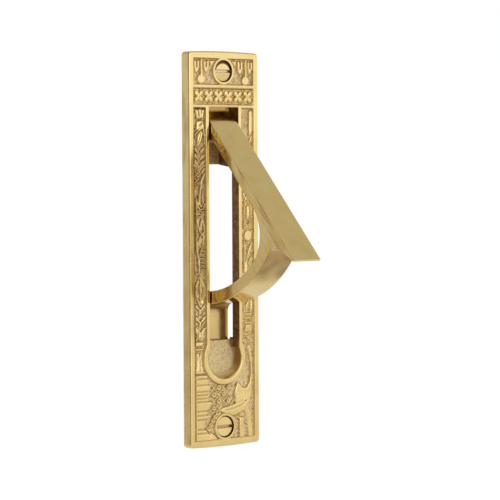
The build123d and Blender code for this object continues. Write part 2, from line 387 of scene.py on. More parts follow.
def make_plate_brass():
    material, place = brass_tree("polished_and_sand_cast_brass")
    x, y, z = parts_of(place)
    side, height = math_node("ABSOLUTE", x), math_node("ABSOLUTE", z)
    from_notch = vector_node("DISTANCE", vector_of(x, z=z), (0, 0, NOTCH_Z * MM))
    from_screw = vector_node("DISTANCE", vector_of(x, z=height), (0, 0, SCREW_Z * MM))

    in_bowl = zone((from_notch, 6.9, 5.7), (y, -2.9, -1.7))
    in_slot = zone((side, SLOT_HALF_WIDTH + 0.06, SLOT_HALF_WIDTH + 0.03),
                   (y, -3.42, -3.3), (y, 8.2, 7.6),
                   (z, SLOT_FOOT, SLOT_FOOT + 0.4), (z, SLOT_TOP + 0.06, SLOT_TOP + 0.02))
    sandy = most(in_bowl, zone((y, -0.5, -0.1)), in_slot)

    # Painted shade inside the slot, lighter on the housing's back wall, and painted shade in the screws'
    # wells.
    less_behind = map_range(y, 6.6 * MM, 6.95 * MM, 1.0, 0.35)
    uneven = map_range(noise(place, 1 / (1.6 * MM), 3.0, 0.7), 0.4, 0.66, 1.0, 0.84)
    in_well = zone((from_screw, 3.65, 3.6), (y, -3.45, -3.3))
    # Painted shade on the bowl's right wall.
    bowl_wall_shade = zone((from_notch, 5.0, 6.3), (x, 2.6, 5.0), (y, -3.4, -2.9), (z, -40.5, -36.0),
                (side, 7.4, 7.2), (y, 0.2, -0.4), (z, -28.0, -29.5))

    # Painted shade: dark lines along the left border, broken up by stretched noise.
    border_streak_noise = noise(vector_node("MULTIPLY", place, BORDER_STREAK_STRETCH), 1.0, 2.0)
    lining = zone((x, -13.3, -12.55), (x, -11.6, -11.8))
    edge_line = zone((x, -12.3, -12.6))
    border_shade = times(zone((z, 36.0, 27.0), (z, -33.0, -24.0), (y, -3.1, -3.4)),
                   most(times(lining, 0.75), times(edge_line, 0.3)),
                   map_range(border_streak_noise, 0.36, 0.58, 0.35))
    # Painted reflection: dark streaks on the plate's left side face.
    side_reflection_streaks = times(zone((x, -14.15, -14.25)), map_range(border_streak_noise, 0.48, 0.7, 0.0, 0.32))
    dark = most(times(in_slot, less_behind, uneven), in_well, times(bowl_wall_shade, 0.8),
                border_shade, side_reflection_streaks)

    lip = zone((from_notch, 5.2, 5.8), (from_notch, 7.6, 7.3), (z, -35.0, -38.0))
    finish_brass(place, sandy, dark, grain_mm=0.6, sand=BOWL_SAND,
                 edge=map_range(lip, 0.0, 1.0, SOFT_EDGE_MM * MM, BOWL_LIP_EDGE_MM * MM),
                 metallic=map_range(in_bowl, 0.0, 1.0, 1.0, 0.4))
    return material


plate_brass = make_plate_brass()
print("material:", plate_brass.name)

# %% [markdown]
# The lever was polished before it was hung. Its lower end, where it passes into the slot, and its hub in
# the housing get painted shade, the hollow under the arm gets dark patches of painted reflection, and dark
# streaks of painted reflection run along the upper part of its sides. Distances down the lever and behind
# its front plane are found by turning a point back through the angle that the lever stands open.

# %% Lever material
OPEN_ANGLE = math.radians(43.2)
DOWN_THE_LEVER = (0, -math.sin(OPEN_ANGLE), -math.cos(OPEN_ANGLE))
INTO_THE_LEVER = (0, math.cos(OPEN_ANGLE), -math.sin(OPEN_ANGLE))
BAR_FRONT_MM = 30.48
ARM_CENTRE = (0, 0.45 * MM, 22.37 * MM)
PIVOT = (0, 1.7 * MM, 38.75 * MM)
FLANK_STREAK_STRETCH = (40.0, 90.0, 720.0)


def make_lever_brass():
    material, place = brass_tree("polished_cast_brass")
    x, y, z = parts_of(place)
    side = math_node("ABSOLUTE", x)
    down = vector_node("DOT_PRODUCT", place, DOWN_THE_LEVER)
    inwards = vector_node("DOT_PRODUCT", place, INTO_THE_LEVER)
    behind_front = math_node("ADD", inwards, BAR_FRONT_MM * MM)
    from_arm = vector_node("DISTANCE", vector_of(y=y, z=z), ARM_CENTRE)
    from_pivot = vector_node("DISTANCE", vector_of(y=y, z=z), PIVOT)

    # Painted reflection: dark streaks along the lever's sides, stronger towards the top.
    along = vector_node("MULTIPLY", vector_of(x, down, inwards), FLANK_STREAK_STRETCH)
    flank_reflection_streaks = times(zone((side, 5.3, 5.45)),
                    map_range(noise(along, 1.0, 2.0), 0.42, 0.66, smooth=True),
                    map_range(z, 22.0 * MM, 32.0 * MM, 0.42, 1.0),
                    map_range(behind_front, 3.4 * MM, 4.4 * MM, 1.0, 0.3))
    # Painted reflection: dark patches under the arm.
    patchy = map_range(noise(place, 1 / (8 * MM), 1.0), 0.35, 0.6, 0.42, 0.68)
    underside_reflection = times(zone((from_arm, 39.3, 39.8), (behind_front, 4.2, 6.4), (y, -21.5, -27.0),
                             (y, -37.5, -31.0)), patchy)
    # Painted shade on the lower end where it passes into the slot, and under the bend of the arm.
    slot_shade_noise = times(zone((y, -3.6, -1.2)), noise(place, 1 / (3.5 * MM), 2.0), 0.42)
    instep_shade = times(zone((z, -20.3, -18.9), (from_arm, 39.0, 39.6)), 0.7)
    foot_shade = times(most(slot_shade_noise, instep_shade), zone((z, -5.0, -12.0), (y, -3.6, -1.6)))
    # Painted shade on the hub inside the housing.
    hub_shade = times(zone((from_pivot, 8.0, 6.5), (behind_front, 2.6, 3.6)), 0.85)
    finish_brass(place, dark=most(flank_reflection_streaks, underside_reflection, foot_shade, hub_shade), roughness=0.14)
    return material


lever_brass = make_lever_brass()
print("material:", lever_brass.name)

# %% [markdown]
# The screws are turned brass, with painted shade at the edge of the head, along the slot's rim and over the
# lower half of the head. The sawn slot is painted pale pink, partly the sawn metal's own colour and partly
# a painted highlight, paler in the upper screw, and a painted shadow lies in the upper rim of the upper
# screw. The pin is plain.

# %% Screw and pin materials
SCREW_SLOT_HALF = 0.42
SLOT_LIGHT_LOWER, SLOT_LIGHT_UPPER = linear("#EDC49C"), linear("#FFEFD8")
SHADOW_BROWN = linear("#3C230C")


def make_screw_brass():
    material, place = brass_tree("turned_brass_screw")
    x, y, z = parts_of(place)
    up = math_node("SUBTRACT", math_node("ABSOLUTE", z), SCREW_Z * MM)
    away = vector_node("DISTANCE", vector_of(x, up), (0, 0, 0))
    from_slot, half = math_node("ABSOLUTE", up), SCREW_SLOT_HALF
    slot = zone((from_slot, half + 0.02, half - 0.04), (away, 3.4, 3.3))
    slot_lip = zone((from_slot, half + 0.2, half + 0.08), (from_slot, half - 0.02, half + 0.04))
    lower_half = zone((z, SCREW_Z - 0.2, SCREW_Z - 1.2), (z, 0, 5.0))
    # Painted shade at the edge of the head, along the slot's rim and over the lower half of the head.
    screw_shade = most(times(zone((away, 2.95, 3.3)), 0.8), times(slot_lip, 0.55),
                times(lower_half, 0.26))
    # Painted highlight in the sawn slot, paler in the upper screw; partly the sawn metal's own colour.
    slot_highlight = mix(zone((z, -1.0, 1.0)), SLOT_LIGHT_LOWER, SLOT_LIGHT_UPPER)
    # Painted shadow in the upper rim of the upper screw.
    lowered = vector_node("DISTANCE", vector_of(x, z), (0.05 * MM, (SCREW_Z - 0.55) * MM, 0))
    crescent_shadow = zone((lowered, 2.85, 3.1), (z, SCREW_Z - 0.5, SCREW_Z + 0.3))
    finish_brass(place, dark=screw_shade, roughness=0.26,
                 metallic=map_range(slot, 0.0, 1.0, 1.0, 0.35),
                 coats=((slot, slot_highlight), (times(crescent_shadow, 0.92), SHADOW_BROWN)))
    return material


def make_pin_brass():
    material, place = brass_tree("drawn_brass_rod")
    finish_brass(place, roughness=0.24)
    return material


screw_brass, pin_brass = make_screw_brass(), make_pin_brass()
for name, finish in {
    "faceplate": plate_brass, "lever": lever_brass, "pivot_pin": pin_brass,
    "screw_upper": screw_brass, "screw_lower": screw_brass,
}.items():
    nodes[name].data.materials.clear()
    nodes[name].data.materials.append(finish)
print("brass on", len(nodes), "pieces")

# %% [markdown]
# ## The carved fields
# The pattern maker cut the ornament into a wooden pattern, and the casting repeats it: flat high places
# at the height of the border, rounded sides, and a rough ground about 0.8 mm down. Sculpting by hand would
# do it, but a height map is easier to correct. One grid covers the whole face, and each leaf, stem and
# band is drawn on it by a few small tools, in millimetres. Where shapes cross, the higher one wins.

# %% The carving grid
PITCH = 0.12
GROUND_MM = 0.78
FACE_MM = 0.08
grid_x = np.arange(-12.48, 12.49, PITCH)
grid_z = np.arange(-61.44, 61.45, PITCH)
plan_x, plan_z = np.meshgrid(grid_x, grid_z)
raised = np.zeros_like(plan_x)
print("carving grid:", plan_x.shape, "points", PITCH, "mm apart")


def patch(points, margin):
    """The part of the grid round some points."""
    xs, zs = zip(*points)
    columns = slice(*np.searchsorted(grid_x, (min(xs) - margin, max(xs) + margin)))
    rows = slice(*np.searchsorted(grid_z, (min(zs) - margin, max(zs) + margin)))
    return rows, columns


def rounded(inside, edge):
    """A flat top with a rounded shoulder, from the distance inside an outline."""
    t = np.clip(inside / edge, 0, 1)
    return np.sqrt(1 - (1 - t) ** 2)


def raise_shape(where, shape):
    raised[where] = np.maximum(raised[where], shape)


def from_segment(where, start, end):
    """How far each grid point is from a line, and how far along the line, from 0 to 1."""
    x, z = plan_x[where] - start[0], plan_z[where] - start[1]
    run = np.subtract(end, start)
    along = np.clip((x * run[0] + z * run[1]) / (run @ run), 0, 1)
    return np.hypot(x - along * run[0], z - along * run[1]), along


def from_path(where, points):
    """How far each grid point is from the nearest part of a line with corners."""
    return np.minimum.reduce([from_segment(where, *ends)[0] for ends in zip(points, points[1:])])


# %% [markdown]
# The carver's tools: a stem that tapers, a leaf with a vein, a boss, a hoop, a flat shape with any outline,
# and a groove.

# %% Carving tools
MARGIN = 0.1
VEIN_HALF_WIDTH = 0.14
LEAF_FULLEST_AT = 0.45
GROOVE_FLOOR = -0.15


def stem(points, start_half, end_half=None, height=0.9, edge=0.45):
    end_half = start_half if end_half is None else end_half
    widest = max(start_half, end_half)
    where = patch(points, widest + MARGIN)
    count = len(points) - 1
    for i in range(count):
        distance, along = from_segment(where, points[i], points[i + 1])
        half = start_half + (end_half - start_half) * (i + along) / count
        raise_shape(where, height * rounded(half - distance, min(edge, widest)))


def leaf(start, end, half, height=0.85, vein=0.3):
    where = patch([start, end], half + MARGIN)
    x, z = plan_x[where] - start[0], plan_z[where] - start[1]
    run = np.subtract(end, start)
    length = np.hypot(*run)
    along = (x * run[0] + z * run[1]) / length ** 2
    across = (z * run[0] - x * run[1]) / length
    t = np.clip(along, 0, 1) ** (math.log(0.5) / math.log(LEAF_FULLEST_AT))
    width = half * np.sin(math.pi * t) ** 0.8
    inside = np.where((along > 0) & (along < 1), width - np.abs(across), 0)
    shape = height * rounded(np.maximum(inside, 0), max(half * 0.8, 0.2))
    raise_shape(where, shape * (1 - vein * np.exp(-(across / VEIN_HALF_WIDTH) ** 2)))


def boss(x, z, half_x, half_z, height=0.95, edge=0.5):
    where = patch([(x, z)], max(half_x, half_z) + MARGIN)
    size = np.hypot((plan_x[where] - x) / half_x, (plan_z[where] - z) / half_z)
    raise_shape(where, height * rounded((1 - size) * min(half_x, half_z), edge))


def hoop(x, z, half_x, half_z, half_line, height=0.9, tilt=0.0):
    where = patch([(x, z)], max(half_x, half_z) + half_line + MARGIN)
    c, s = math.cos(math.radians(tilt)), math.sin(math.radians(tilt))
    from_x, from_z = plan_x[where] - x, plan_z[where] - z
    u, v = from_x * c + from_z * s, from_z * c - from_x * s
    size = np.hypot(u / half_x, v / half_z)
    away = np.abs(size - 1) * np.hypot(u, v) / np.maximum(size, 1e-6)
    raise_shape(where, height * rounded(half_line - away, half_line))


def flat_shape(points, height=0.9, edge=0.4):
    where = patch(points, MARGIN)
    x, z = plan_x[where], plan_z[where]
    outline = points + points[:1]
    within = np.zeros(x.shape, bool)
    for (x0, z0), (x1, z1) in zip(outline, outline[1:]):
        if z0 != z1:
            within ^= ((z0 > z) != (z1 > z)) & (x < x0 + (z - z0) * (x1 - x0) / (z1 - z0))
    raise_shape(where, height * rounded(np.where(within, from_path(where, outline), 0), edge))


def groove(points, half, depth=0.7):
    where = patch(points, half + MARGIN)
    cut = depth * rounded(half - from_path(where, points), half)
    raised[where] = np.maximum(raised[where] - cut, GROOVE_FLOOR)


def bow(x, z, half_x, half_z, start_degrees, end_degrees, steps=10):
    """Points along part of an ellipse, for a curved stem."""
    turns = np.radians(np.linspace(start_degrees, end_degrees, steps + 1))
    return [(x + half_x * math.cos(t), z + half_z * math.sin(t)) for t in turns]


print("carving tools ready")

# %% [markdown]
# ### Top panel
# A row of hanging petals, and on each side of the screw a ball on a stem. The band below gets the small
# points that stand between its flowers.

# %% Carve the top panel
for x, tip in ((-10.9, 56.3), (-6.95, 56.5), (6.95, 56.1), (11.0, 56.3)):
    flat_shape([(x - 1.15, 60.5), (x + 1.15, 60.5), (x + 1.15, tip + 2.0), (x + 0.45, tip + 0.3), (x, tip),
                (x - 0.45, tip + 0.3), (x - 1.15, tip + 2.0)], 0.92, 0.45)
    groove([(x, 60.3), (x, tip + 2.1)], 0.32, 0.75)
flat_shape([(-5.5, 60.5), (-2.8, 60.5), (-4.0, 59.5), (-4.9, 58.0)], 0.85)
flat_shape([(3.2, 60.5), (5.5, 60.5), (5.1, 58.1), (4.2, 59.4)], 0.85)
for x, z, radius in ((-9.0, 54.5, 1.62), (9.2, 54.2, 1.58)):
    groove([(x + 0.15, 60.7), (x + 0.15, 56.5)], 0.85, 0.9)
    stem([(x + 0.15, 61.0), (x + 0.1, 55.8)], 0.4, 0.44, 0.95, 0.3)
    boss(x, z, radius, radius, 0.98, 0.55)
for i in range(7):
    x = -11.95 + 4.0 * i
    leaf((x, 51.6), (x, 50.2), 0.36, 0.8, 0.0)
    leaf((x, 46.5), (x, 47.9), 0.36, 0.8, 0.0)
    boss(x, 49.05, 0.5, 0.34, 0.6, 0.3)
print("top panel carved")

# %% [markdown]
# ### Left field
# Leaves, a pod and a flower cup climb beside the slot, one above the other.

# %% Carve the left field
flat_shape([(-11.6, 44.9), (-7.7, 44.9), (-8.3, 42.0), (-10.8, 41.7)], 0.8, 0.6)
stem([(-9.6, 44.8), (-9.6, 43.0)], 0.24, 0.2, 1.0)
groove([(-10.3, 44.9), (-10.0, 42.6)], 0.2, 0.5)
groove([(-9.0, 44.9), (-9.0, 42.6)], 0.2, 0.5)
groove([(-8.3, 44.9), (-8.7, 42.6)], 0.18, 0.4)
flat_shape([(-11.0, 41.3), (-8.4, 41.5), (-7.7, 38.9), (-11.3, 38.0)], 0.78, 0.6)
groove([(-11.0, 41.2), (-8.2, 41.7)], 0.24, 0.9)
groove([(-9.7, 39.6), (-8.9, 40.4)], 0.22, 0.5)
stem([(-12.2, 35.2), (-11.4, 36.9), (-10.0, 38.2), (-8.2, 39.0)], 0.32, 0.26)
stem([(-8.2, 38.8), (-7.7, 36.4), (-7.7, 33.8)], 0.24, 0.2, 0.75)
leaf((-8.8, 38.2), (-10.7, 32.9), 1.12, 0.95, 0.55)
leaf((-9.1, 36.4), (-10.1, 33.7), 0.34, 0.4, 0.0)
for z in (33.2, 31.2, 29.2):
    leaf((-12.5, z + 0.3), (-9.9, z - 2.6), 0.52, 0.85, 0.4)
for z in (33.0, 30.8, 28.9):
    leaf((-7.3, z), (-9.9, z - 2.4), 0.46, 0.85, 0.4)
stem([(-12.3, 34.3), (-12.1, 31.0)], 0.2)
for row in range(6):
    for column in range(3):
        x = -12.1 + 0.85 * column - 0.22 * (row % 2)
        z = 26.3 - 1.05 * row - 0.35 * column
        leaf((x - 0.42, z - 0.4), (x + 0.42, z + 0.4), 0.26, 0.7, 0.0)
leaf((-7.5, 26.3), (-9.4, 23.9), 0.4)
leaf((-7.5, 24.9), (-9.7, 20.9), 0.45, 0.9, 0.25)
stem([(-8.6, 23.0), (-9.4, 20.0), (-9.9, 17.2), (-10.0, 14.6)], 0.28, 0.42)
stem([(-8.2, 19.5), (-8.6, 17.0), (-8.3, 15.2)], 0.2, 0.3, 0.6)
stem(bow(-9.2, 15.2, 1.5, 2.3, 175, 350), 0.3, 0.28)
stem([(-9.9, 15.3), (-9.2, 13.9), (-8.3, 15.1)], 0.2, 0.2, 0.95)
boss(-9.2, 14.0, 0.55, 0.5, 0.8)
stem([(-12.1, 19.0), (-12.1, -7.5)], 0.2, 0.2, 0.62)
stem([(-11.1, 16.4), (-11.0, 8.0), (-11.2, 1.0)], 0.24, 0.3, 0.8)
stem([(-8.0, 12.4), (-8.6, 12.0), (-10.2, 12.6)], 0.2, 0.2, 0.7)
hoop(-9.25, 7.9, 1.1, 2.95, 0.26, 0.9, 14)
leaf((-8.8, 10.4), (-9.7, 5.4), 0.5, 0.75, 0.5)
stem([(-7.9, 5.9), (-9.2, 4.8), (-10.4, 2.9), (-11.1, 0.6)], 0.3, 0.3)
leaf((-8.1, 5.8), (-8.6, 1.0), 0.42)
leaf((-8.9, 4.2), (-10.4, 0.6), 0.55, 0.65, 0.6)
stem([(-11.2, 0.9), (-10.5, -2.6), (-10.25, -5.0), (-10.3, -7.3)], 0.3, 0.26, 0.95)
stem([(-8.6, 0.9), (-9.5, -0.4), (-10.0, -3.0), (-9.9, -6.8)], 0.22, 0.2, 0.7)
for i in range(6):
    stem([(-9.5 + 0.06 * i, -0.4 - 1.18 * i), (-8.1, -0.1 - 1.18 * i)], 0.27, 0.2, 0.85)
stem([(-12.2, -8.0), (-11.3, -7.2), (-10.6, -8.0)], 0.22, 0.2, 0.7)
for half, rise in ((2.35, 0.95), (1.75, 0.8), (1.15, 0.7)):
    stem([(-10.1, -8.4), (-9.7 - half, -12.4), (-9.5 - half * 0.7, -15.4), (-9.7, -18.2)],
         0.17, 0.2, rise)
    stem([(-9.9, -8.4), (-9.5 + half * 0.85, -12.2), (-9.6 + half * 0.7, -15.2), (-9.6, -18.2)],
         0.17, 0.2, rise)
leaf((-9.7, -9.6), (-9.5, -17.8), 0.55, 0.9, 0.45)
leaf((-10.3, -7.9), (-7.9, -11.6), 0.34, 1.0, 0.0)
for z in (-17.0, -20.9, -24.4):
    leaf((-12.3, z), (-9.8, z - 2.4), 0.48, 0.9)
    leaf((-7.5, z - 0.2), (-10.0, z - 2.6), 0.48, 0.9)
    leaf((-9.9, z - 1.6), (-9.9, z - 4.2), 0.38, 0.75)
for z in (-19.4, -22.6):
    leaf((-12.2, z), (-10.4, z - 1.9), 0.3, 0.7, 0.0)
    leaf((-7.6, z), (-9.4, z - 1.9), 0.3, 0.7, 0.0)
stem(bow(-12.2, -27.3, 1.25, 1.6, 75, -80), 0.24, 0.3)
boss(-11.9, -27.5, 0.5, 0.6, 0.7)
leaf((-8.3, -24.6), (-9.6, -29.0), 0.45, 0.85, 0.35)
leaf((-10.1, -25.6), (-10.4, -29.0), 0.35, 0.7, 0.2)
print("left field carved")

# %% [markdown]
# ### Right field
# A tall bud, an egg-shaped boss and a tassel. The part behind the lever is drawn too, because it shows as
# soon as the lever is closed or the pull is turned.

# %% Carve the right field
flat_shape([(10.5, 44.4), (11.2, 45.0), (11.9, 44.4), (11.95, 38.0), (10.6, 35.5), (10.3, 38.5)], 0.95, 0.5)
for i in range(7):
    stem([(7.7, 43.4 - 0.85 * i), (9.9, 44.6 - 0.85 * i)], 0.15, 0.15, 0.42)
groove([(9.1, 38.6), (9.4, 37.4)], 0.5, 0.3)
leaf((8.4, 36.9), (10.6, 34.0), 0.42, 0.9)
leaf((11.9, 37.0), (10.4, 33.8), 0.42, 0.9)
for z in (33.2, 30.4, 27.6):
    leaf((12.1, z), (9.9, z - 2.6), 0.5, 0.85, 0.4)
    leaf((7.6, z), (9.8, z - 2.6), 0.5, 0.85, 0.4)
leaf((9.9, 27.0), (9.9, 20.0), 0.75, 0.9, 0.45)
stem([(8.0, 24.0), (8.3, 21.0), (9.7, 18.6)], 0.26, 0.3, 0.8)
stem([(11.8, 24.0), (11.5, 21.0), (10.1, 18.6)], 0.26, 0.3, 0.8)
leaf((7.7, 18.6), (9.1, 15.7), 0.4, 0.9, 0.2)
leaf((9.9, 18.2), (8.1, 13.9), 0.36, 0.85, 0.2)
leaf((10.1, 18.0), (11.6, 13.9), 0.36, 0.85, 0.2)
hoop(9.85, 11.4, 1.45, 3.9, 0.28, 0.9)
leaf((9.9, 14.4), (9.95, 8.4), 0.75, 0.95)
for z, half in ((7.9, 0.2), (7.2, 0.22), (6.5, 0.2)):
    stem(bow(9.9, z + 1.0, 2.0, 1.2, 205, 335, 6), half, half, 0.75)
boss(9.95, 4.2, 1.65, 1.85, 1.0, 0.6)
stem([(8.5, 2.4), (8.55, -2.0), (8.5, -7.5)], 0.32, 0.4, 0.85)
leaf((11.7, 2.4), (9.3, -3.2), 0.5, 0.95, 0.2)
stem([(9.6, -2.6), (9.2, -5.0), (9.1, -8.2)], 0.36, 0.42, 0.9)
leaf((11.9, -2.2), (9.6, -5.6), 0.4, 0.85, 0.2)
leaf((11.8, -6.2), (9.4, -9.8), 0.42)
leaf((7.8, -8.4), (9.4, -12.0), 0.42)
leaf((11.7, -9.8), (10.0, -14.4), 0.45)
leaf((9.0, -11.6), (9.6, -16.0), 0.4, 0.8)
leaf((11.2, -16.0), (11.1, -21.4), 0.62, 0.9, 0.4)
leaf((10.1, -16.6), (8.5, -19.9), 0.42, 0.9, 0.2)
stem([(8.2, -17.4), (8.3, -20.6)], 0.24, 0.3, 0.75)
for z in (-21.2, -22.5, -24.0):
    stem([(8.6, z), (11.0, z)], 0.38, 0.38, 0.82)
flat_shape([(8.8, -24.6), (10.8, -24.6), (11.5, -27.2), (8.2, -27.2)], 0.85, 0.5)
for x in (9.2, 10.0, 10.7):
    groove([(x, -25.8), (x + 0.15, -27.6)], 0.16, 0.5)
stem([(11.9, -21.6), (11.9, -24.6)], 0.24, 0.24, 0.7)
rng = np.random.default_rng(5)
for i in range(34):
    x, z = rng.uniform(8.2, 12.1), rng.uniform(-31.0, -27.9)
    boss(x, z, rng.uniform(0.22, 0.4), rng.uniform(0.18, 0.3), rng.uniform(0.45, 0.85), 0.2)
print("right field carved")

# %% [markdown]
# ### Lower field
# A turned post with bands on the left, and on the right a wading bird that stands among reeds, both common
# in ornament of the 1880s. The bird is one flat shape with grooves for its feathers.

# %% Carve the lower field
flat_shape([(-12.2, -29.3), (-8.7, -29.2), (-8.6, -30.7), (-12.1, -30.8)], 0.9, 0.45)
stem([(-12.0, -31.8), (-8.9, -31.7)], 0.4, 0.4, 0.8)
flat_shape([(-11.6, -32.8), (-9.4, -32.8), (-9.2, -36.2), (-8.6, -39.0), (-12.0, -39.0), (-11.5, -36.2)],
           0.9, 0.6)
groove([(-10.3, -32.6), (-10.3, -33.9)], 0.22, 0.7)
groove([(-11.0, -34.4), (-11.2, -38.2)], 0.16, 0.35)
groove([(-10.2, -35.6), (-10.1, -38.6)], 0.2, 0.5)
stem([(-11.9, -39.3), (-8.2, -39.1)], 0.34, 0.34, 0.95)
flat_shape([(-12.0, -40.0), (-7.2, -40.0), (-6.7, -42.0), (-6.2, -43.4), (-6.1, -45.4), (-6.8, -47.2),
            (-6.3, -48.5), (-5.1, -49.1), (-6.0, -50.4), (-7.1, -51.7), (-6.9, -52.9), (-5.9, -53.5),
            (-7.4, -54.4), (-8.2, -55.4), (-8.3, -56.8), (-7.7, -57.7), (-6.3, -59.4), (-4.9, -61.3),
            (-12.0, -61.3)], 0.92, 0.35)
for z, right in ((-41.2, -7.0), (-43.2, -6.3), (-45.3, -6.1), (-46.4, -6.6), (-47.5, -6.8), (-48.6, -6.5),
                 (-51.6, -7.2), (-52.9, -7.0), (-54.3, -7.6), (-57.4, -8.0), (-58.7, -7.4)):
    groove([(-11.8, z), (right, z)], 0.26, 0.62)
flat_shape([(-6.7, -58.2), (-4.6, -59.3), (-2.6, -61.2), (-5.6, -61.2)], 0.85, 0.4)
bird = [(9.2, -31.3), (10.3, -31.2), (10.9, -32.4), (11.4, -35.5), (11.5, -39.0), (11.3, -43.0),
        (11.25, -47.2), (10.6, -49.8), (9.3, -51.4), (7.8, -52.7), (5.5, -53.4), (3.2, -54.0),
        (0.6, -53.4), (-1.6, -52.2), (-0.9, -50.9), (2.4, -50.5), (4.5, -49.8), (4.1, -48.0),
        (3.9, -46.0), (4.5, -44.4), (5.2, -42.9), (6.4, -43.9), (7.4, -44.9), (8.9, -45.1),
        (10.2, -43.2), (10.6, -40.4), (10.6, -37.2), (10.0, -33.6), (9.2, -32.0)]
flat_shape(bird, 0.95, 0.55)
groove([(9.0, -49.2), (7.0, -50.6), (4.0, -51.4), (0.4, -51.9)], 0.2, 0.55)
groove([(8.9, -49.4), (6.9, -49.3), (5.3, -50.0)], 0.16, 0.45)
for x in (5.4, 6.5, 7.6, 8.7):
    groove([(x - 0.25, -46.3), (x + 0.15, -48.9)], 0.16, 0.28)
groove([(4.5, -43.4), (3.7, -44.9), (3.7, -46.8), (4.4, -48.4)], 0.3, 0.35)
groove([(2.5, -45.6), (2.5, -47.2), (3.4, -48.2)], 0.3, 0.3)
groove([(10.35, -36.0), (10.45, -41.4)], 0.18, 0.3)
stem([(-1.2, -51.4), (1.4, -51.3), (4.6, -50.2)], 0.26, 0.16, 1.0)
stem([(0.6, -49.9), (2.2, -48.6), (1.0, -48.0)], 0.2, 0.2, 0.7)
flat_shape([(5.9, -54.6), (7.9, -54.5), (8.2, -61.3), (6.0, -61.3)], 0.88, 0.4)
stem([(4.9, -54.3), (6.6, -54.9)], 0.3, 0.4, 0.8)
stem([(8.7, -51.2), (9.9, -54.6), (10.5, -58.0), (10.8, -61.2)], 1.0, 1.05, 0.9)
for i in range(3):
    stem([(8.5 + 0.3 * i, -54.6 - 1.4 * i), (8.9 + 0.3 * i, -55.4 - 1.4 * i)], 0.2, 0.12, 0.5)
TRELLIS_X, TRELLIS_Z, TRELLIS_HALF_WIDE, TRELLIS_HALF_TALL = -2.4, -44.4, 2.05, 2.2
for way, first in ((1, -0.5), (-1, -1.5)):
    for i in range(5):
        wide, tall = way * TRELLIS_HALF_WIDE, TRELLIS_HALF_TALL
        x, z = TRELLIS_X + wide * (i + first), TRELLIS_Z - tall * (i + first)
        stem([(x + wide, z + tall), (x - 2 * wide, z - 2 * tall)], 0.17, 0.17, 0.5, 0.2)
print("lower field carved")

# %% [markdown]
# ### From plan to metal
# The ground gets a punched, grainy surface from smoothed random numbers, the whole plan is softened as
# molten brass softens a mould, and a small cove joins the ground to the walls of each field.

# %% Heights in millimetres
FIELD_HALF_WIDTH = 12.3
PANEL, BAND, MAIN = (52.7, 61.2), (46.4, 51.7), (-61.2, 45.4)
RIM_HALF_WIDTH = 7.4
NOTCH_RING = 8.6
SCREW_RING = 4.25
PUNCH_MM = 0.26
BLOTCH_MM = 0.12
DEEPEST_MM, HIGHEST_MM, IN_BORDER_MM = -0.88, -0.05, -0.3


def soften(values, rounds):
    for _ in range(rounds):
        for axis in (0, 1):
            values = (np.roll(values, 1, axis) + 2 * values + np.roll(values, -1, axis)) / 4
    return values


def grains(rounds):
    """Softened random numbers from -1 to 1."""
    values = soften(rng.standard_normal(plan_x.shape), rounds)
    return values / np.abs(values).max()


def is_open(x, z):
    """Where the plate has a sunk field, and not a border, rim or ring."""
    panel, band, main = [(z > low) & (z < high) for low, high in (PANEL, BAND, MAIN)]
    main &= ~((np.abs(x) < RIM_HALF_WIDTH) & (z > NOTCH_Z)) & (np.hypot(x, z - NOTCH_Z) > NOTCH_RING)
    clear_of_screws = np.hypot(x, np.abs(z) - SCREW_Z) > SCREW_RING
    return (np.abs(x) < FIELD_HALF_WIDTH) & clear_of_screws & (panel | band | main)


opened = is_open(plan_x, plan_z).astype(float)
punched, blotchy = grains(3), grains(24)
relief = np.where(raised > 0, 1 - (1 - np.clip(raised, 0, 1)) ** 1.7, raised)
relief = soften(relief, 1)
cove = np.clip((soften(1 - opened, 8) - 0.12) / 0.38, 0, 1)
height = GROUND_MM * (relief - 1) - FACE_MM * relief
height += (PUNCH_MM * punched + BLOTCH_MM * blotchy) * (1 - 0.93 * np.clip(relief, 0, 1))
height = np.maximum(height, GROUND_MM * (0.55 * cove - 1))
height = np.where(opened > 0, np.clip(height, DEEPEST_MM, HIGHEST_MM), IN_BORDER_MM)
print(f"carving runs from {height[opened > 0].min():.2f} to {height[opened > 0].max():.2f} mm")

# %% [markdown]
# Tarnish and painted shade darken the corners beside each shape. A point is darkened where it lies below
# its own surroundings or near the deepest ground, and a painted shadow falls just under the left and top
# edge of a field. The painted shade is weaker in the right field and the flower band, and strongest in the
# left field.

# %% Tarnish and painted shade in the carving
# Tarnish and painted shade where a point lies below its surroundings or near the deepest ground.
tarnish_and_shade = np.clip((soften(height, 5) - height) / 0.19, 0, 1)
tarnish_and_shade = np.maximum(tarnish_and_shade, np.clip((-0.74 - height) / 0.14, 0, 1) * 0.5)
# Weaker painted shade in the right field and the flower band.
tarnish_and_shade *= np.where((plan_x > 7) & (plan_z < 46), 0.5, 1.0)
tarnish_and_shade *= np.where((plan_z > 46) & (plan_z < 52), 0.3, 1.0)
# Painted shadow just under the left and top edge of each field.
shadow_from_left = soften(np.roll(1 - opened, 4, 1), 2) * opened
shadow_from_top = soften(np.roll(1 - opened, -3, 0), 2) * opened
tarnish_and_shade = np.maximum(tarnish_and_shade, 0.85 * np.maximum(shadow_from_left, shadow_from_top))
# Stronger painted shade in the left field.
in_left = (plan_x < -7) & (plan_z < 46) & (plan_z > -31)
darker = np.clip(np.where(plan_z > 8, 2.5, 1.8) * tarnish_and_shade ** 1.2, 0, 1.27)
tarnish_and_shade = np.where(in_left, darker, tarnish_and_shade)
print(f"{(tarnish_and_shade > 0.5).mean():.0%} of the carving holds tarnish")

# %% [markdown]
# Each field becomes a closed slab that sits in its pocket. Its edges run a little way into the solid metal
# of the border, so no gap shows. The pieces stop short of the holes, which stay open. How dark the tarnish
# and painted shade are at each point goes with the mesh as an attribute.

